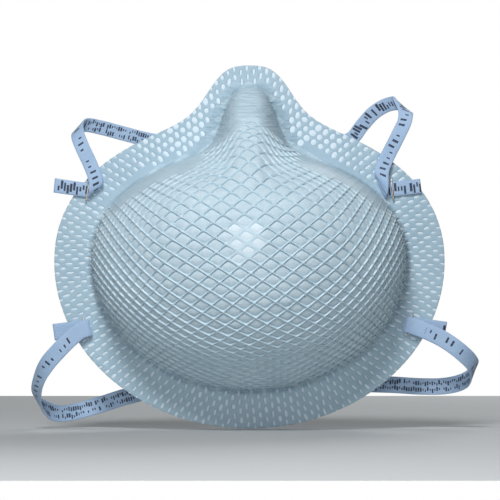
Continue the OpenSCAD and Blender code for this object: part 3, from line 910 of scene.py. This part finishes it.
def band_material():
    """Woven elastic: ribs along it, threads across it, and rows of plain printed marks."""
    n = Nodes("woven_elastic")
    along = n.add("ShaderNodeAttribute", attribute_name="band_along").outputs["Fac"]
    across = n.add("ShaderNodeAttribute", attribute_name="band_across").outputs["Fac"]
    style = n.add("ShaderNodeAttribute", attribute_name="band_print").outputs["Fac"]

    def is_style(number):
        return n.math("COMPARE", style, float(number), 0.2)

    def row(middle, half_height, pitch, fill, keep, seed):
        """Blocks of different widths in one row; some places are left empty."""
        place = n.math("DIVIDE", along, pitch)
        index = n.math("FLOOR", place)
        offset = n.math("FRACT", place)
        noise = n.add("ShaderNodeTexWhiteNoise", noise_dimensions="2D")
        pair = n.add("ShaderNodeCombineXYZ")
        n.link(index, pair.inputs[0])
        pair.inputs[1].default_value = seed
        n.link(pair.outputs[0], noise.inputs["Vector"])
        split = n.add("ShaderNodeSeparateColor")
        n.link(noise.outputs["Color"], split.inputs[0])
        width = n.math("MULTIPLY_ADD", split.outputs[0], 0.5 * fill, 0.5 * fill)
        from_middle = n.math("ABSOLUTE", n.math("SUBTRACT", offset, 0.5))
        inside = n.math("LESS_THAN", from_middle, n.math("MULTIPLY", width, 0.5))
        shown = n.math("LESS_THAN", split.outputs[1], keep)
        lift = n.math("ROUND", n.math("MULTIPLY_ADD", split.outputs[2], 2.0, -1.0))
        up = n.math("MULTIPLY_ADD", lift, half_height * 0.45, middle)
        is_tall = n.math("GREATER_THAN", split.outputs[0], 0.45)
        tall = n.math("MULTIPLY_ADD", is_tall, half_height * 0.45, half_height * 0.55)
        level = n.math("LESS_THAN", n.math("ABSOLUTE", n.math("SUBTRACT", across, up)), tall)
        return n.math("MULTIPLY", n.math("MULTIPLY", inside, shown), level)

    bold = n.math("MULTIPLY", row(0.0, 1.5, 1.15, 0.85, 0.86, 3.0), is_style(BOLD_ROW))
    rows = n.math("MAXIMUM", row(1.2, 0.75, 0.85, 0.8, 0.84, 5.0), row(-1.2, 0.75, 0.85, 0.8, 0.84, 8.0))
    rows = n.math("MULTIPLY", rows, is_style(TWO_ROWS))
    sparse = n.math("MULTIPLY", row(0.0, 1.1, 2.2, 0.42, 0.8, 13.0), is_style(SPARSE_ROW))
    ink = n.math("MAXIMUM", n.math("MAXIMUM", bold, rows), sparse)
    patchy = n.noise(2200, 2, 0.6)
    ink = n.math("MULTIPLY", ink, n.ramp(patchy, 0.3, 0.5, 0.75, 0.97))

    rib_width, thread_width = 0.52, 0.36
    ribs = n.math("SINE", n.math("MULTIPLY", across, 2 * math.pi / rib_width))
    turn = n.math("MULTIPLY", along, 2 * math.pi / thread_width)
    threads = n.math("SINE", n.math("ADD", turn, n.math("MULTIPLY", ribs, 1.4)))
    weave = n.math("MULTIPLY_ADD", threads, 0.4, n.math("MULTIPLY", ribs, 0.6))
    cloud = n.noise(130, 2, 0.5)
    tone = n.blend(n.ramp(weave, -1.0, 1.0), (0.26, 0.40, 0.60, 1), (0.40, 0.54, 0.73, 1))
    tone = n.blend(n.ramp(cloud, 0.35, 0.7, 0.0, 0.25), tone, (0.45, 0.58, 0.76, 1))
    tone = n.blend(ink, tone, (0.012, 0.02, 0.05, 1))
    relief = n.bump(weave, 0.5, 0.00008)
    return n.finish(
        Base_Color=tone, Roughness=0.62, Normal=relief, Sheen_Weight=0.3, Sheen_Roughness=0.4,
        Specular_IOR_Level=0.4,
    )


def steel_material():
    """Drawn wire, with fine scratches along it and a few warm stains."""
    n = Nodes("staple_steel")
    scratch = n.noise(900, 3, 0.7, stretch=(1.0, 1.0, 0.1))
    stain = n.noise(320, 2, 0.5)
    tone = n.blend(n.ramp(stain, 0.45, 0.7), (0.80, 0.78, 0.75, 1), (0.62, 0.50, 0.40, 1))
    rough = n.ramp(scratch, 0.3, 0.7, 0.35, 0.55)
    return n.finish(Base_Color=tone, Metallic=1.0, Roughness=rough, Normal=n.bump(scratch, 0.2, 0.00005))


looks = {
    "net": net_material(),
    "shell": fabric_material(
        "shell_nonwoven", (0.44, 0.57, 0.65, 1), (0.59, 0.71, 0.78, 1), bare=(0.66, 0.77, 0.85, 1)
    ),
    "filter": fabric_material("filter_nonwoven", (0.70, 0.72, 0.72, 1), (0.86, 0.88, 0.88, 1)),
    "lining": fabric_material(
        "lining_nonwoven", (0.74, 0.77, 0.79, 1), (0.90, 0.92, 0.93, 1), 1900, 0.7, 0.5, bonds=True
    ),
    "seal": fabric_material("pressed_edge", (0.36, 0.47, 0.54, 1), (0.52, 0.63, 0.70, 1), 1900, 0.3, 0.2),
    "elastic": band_material(),
    "staple": steel_material(),
}

# ---- Which piece stands for which node --------------------------------------------------


def place(piece, look, slot, *nodes):
    """Gives a piece its look, puts it on the cup, and hides the CAD nodes it stands for; its slot is not
    used.
    """
    piece.data.materials.append(looks[look])
    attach(piece, "cup")
    if nodes:
        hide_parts(*nodes)


place(net, "net", "net", "outer_net")
place(shell, "shell", "shell", "moulded_shell")
place(shell_back, "seal", "shell")
place(filter_layer, "filter", "filter", "filter_sheet")
place(lining, "lining", "lining", "inner_lining")
place(rim_seal, "seal", "shell")
for node, wire in staples.items():
    place(wire, "staple", "staple", node)

# Heights in metres, below and above each hinge, between which a headband would turn with its loop; the loop
# below does not use them
UPPER_BEND = (0.0350, 0.0425)
LOWER_BEND = (-0.0260, -0.0335)
for band, body, (start, end) in (
    (upper_band, "upper_headband", UPPER_BEND),
    (lower_band, "lower_headband", LOWER_BEND),
):
    band.data.materials.append(looks["elastic"])
    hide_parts(body + "_left_end", body + "_loop", body + "_right_end")
    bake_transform(band)

# ---- Floor, light and camera ------------------------------------------------------------

FLOOR_HALF = 450.0
FLOOR_GAP = 0.4
floor_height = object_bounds()[0].z / MM - FLOOR_GAP
floor_corners = [(-1, -1), (1, -1), (1, 1), (-1, 1)]
floor_points = np.array([(x * FLOOR_HALF, y * FLOOR_HALF, floor_height) for x, y in floor_corners])
floor = mesh_piece("floor", floor_points, [(0, 1, 2, 3)])
floor_nodes = Nodes("floor_paper")
floor.data.materials.append(floor_nodes.finish(Base_Color=(0.43, 0.45, 0.46, 1), Roughness=0.9))


def area_light(name, place, aim, size, power):
    """A round soft light: its place and aim in metres, its width in metres and its power in watts."""
    data = bpy.data.lights.new(name, "AREA")
    data.shape, data.size, data.energy = "DISK", size, power
    lamp = bpy.data.objects.new(name, data)
    lamp.location = place
    direction = np.array(aim, float) - np.array(place, float)
    lamp.rotation_mode = "QUATERNION"
    lamp.rotation_quaternion = Vector(direction).to_track_quat("-Z", "Y")
    bpy.context.scene.collection.objects.link(lamp)
    return lamp


area_light("key", (-0.10, -0.64, 0.60), (0, 0, 0.01), 0.28, 6.2)
area_light("front", (-0.05, -0.97, 0.12), (0, 0, 0), 0.3, 2.3)
area_light("back", (0.25, 0.85, 0.45), (0, 0, 0), 0.5, 4.6)

world = bpy.data.worlds.new("studio")
bpy.context.scene.world = world
world.use_nodes = True
world.node_tree.nodes.clear()
soft = world.node_tree.nodes.new("ShaderNodeBackground")
soft.inputs["Color"].default_value = (0.82, 0.93, 1.0, 1)
soft.inputs["Strength"].default_value = 0.05
plain = world.node_tree.nodes.new("ShaderNodeBackground")
plain.inputs["Color"].default_value = (1, 1, 1, 1)
plain.inputs["Strength"].default_value = 1.0
path = world.node_tree.nodes.new("ShaderNodeLightPath")
join = world.node_tree.nodes.new("ShaderNodeMixShader")
world_output = world.node_tree.nodes.new("ShaderNodeOutputWorld")
world.node_tree.links.new(path.outputs["Is Camera Ray"], join.inputs[0])
world.node_tree.links.new(soft.outputs[0], join.inputs[1])
world.node_tree.links.new(plain.outputs[0], join.inputs[2])
world.node_tree.links.new(join.outputs[0], world_output.inputs[0])

# Width of the picture at the mask's front, and how far in front of the origin that plane is, in metres
FRAME_WIDTH = 0.1785
LENS = 400.0
SENSOR = 36.0
camera_data = bpy.data.cameras.new("camera")
camera_data.lens, camera_data.sensor_width = LENS, SENSOR
camera_data.clip_start, camera_data.clip_end = 0.05, 20
camera = bpy.data.objects.new("camera", camera_data)
FRONT_PLANE = -0.012
camera.location = (0.0002, FRONT_PLANE - FRAME_WIDTH * LENS / SENSOR, 0.0043)
camera.rotation_euler = (math.pi / 2, 0, 0)
bpy.context.scene.collection.objects.link(camera)
bpy.context.scene.camera = camera
bpy.context.scene.view_settings.view_transform = "Standard"
